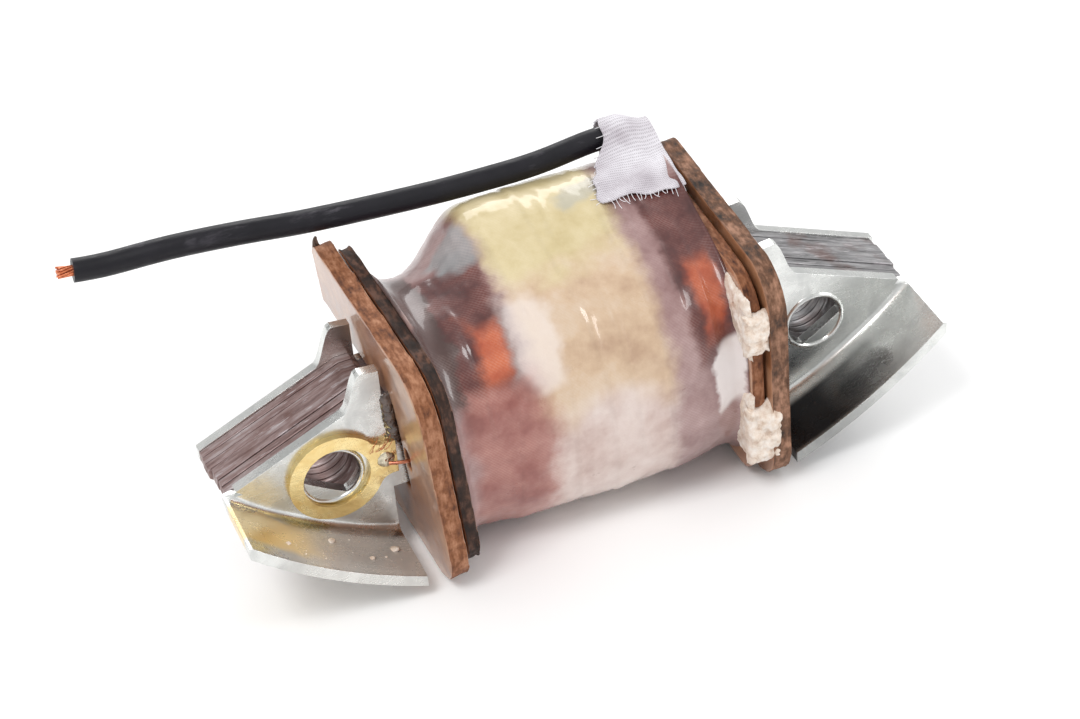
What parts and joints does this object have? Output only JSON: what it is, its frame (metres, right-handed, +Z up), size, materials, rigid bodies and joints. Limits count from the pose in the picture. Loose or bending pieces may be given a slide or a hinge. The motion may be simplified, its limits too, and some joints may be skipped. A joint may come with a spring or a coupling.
{
  "type": "ignition coil",
  "caption": "Magneto stator coil: laminated steel core with two curved pole shoes, tape-wrapped winding between fibre cheeks, brass earth tag and a short black lead.",
  "frame": {"origin": "middle of the base, under the middle of the core, on the surface that the two cheeks stand on", "axes": "+X along the coil from the earth-tag end to the other, -Y towards the pole shoes' forward lips, +Z up away from the curved pole faces"},
  "size_m": [0.0822, 0.03, 0.0317],
  "materials": {
    "zinc_plate": "bright zinc plating with scuffs and a thin film of varnish",
    "lamination_steel": "bare sheet edges, darkened and slightly rusted",
    "varnished_fibre": "brown vulcanised fibre soaked in amber varnish",
    "presspaper": "smooth electrical presspaper",
    "copper_wire": "red enamelled copper wire",
    "bare_copper": "bare copper strands",
    "band_paper": "cream insulating paper",
    "varnished_tape": "woven glass tape soaked in clear varnish, glossy and translucent",
    "brass": "bright stamped brass",
    "solder": "dull tin solder",
    "gauze": "open white gauze, wet with varnish",
    "dried_adhesive": "chalky off-white dried adhesive",
    "lead_rubber": "matt black flexible insulation with chalky scuffs"
  },
  "bodies": {
    "root": {"back_plate": "zinc_plate", "lamination_1": "lamination_steel", "lamination_2": "lamination_steel", "lamination_3": "lamination_steel", "lamination_4": "lamination_steel", "lamination_5": "lamination_steel", "lamination_6": "lamination_steel", "lamination_7": "lamination_steel", "pole_shoe_plate": "zinc_plate", "left_cheek_outer": "varnished_fibre", "left_cheek_inner": "varnished_fibre", "right_cheek_outer": "varnished_fibre", "right_cheek_inner": "varnished_fibre", "former_tube": "presspaper", "winding": "copper_wire", "paper_band": "band_paper", "outer_tape": "varnished_tape", "earth_tag": "brass", "tag_solder": "solder", "start_wire": "copper_wire", "finish_wire": "copper_wire", "lead_joint": "solder", "lead_gauze": "gauze", "adhesive_upper": "dried_adhesive", "adhesive_lower": "dried_adhesive", "lead_insulation": "lead_rubber", "lead_conductor": "bare_copper"}
  },
  "joints": []
}
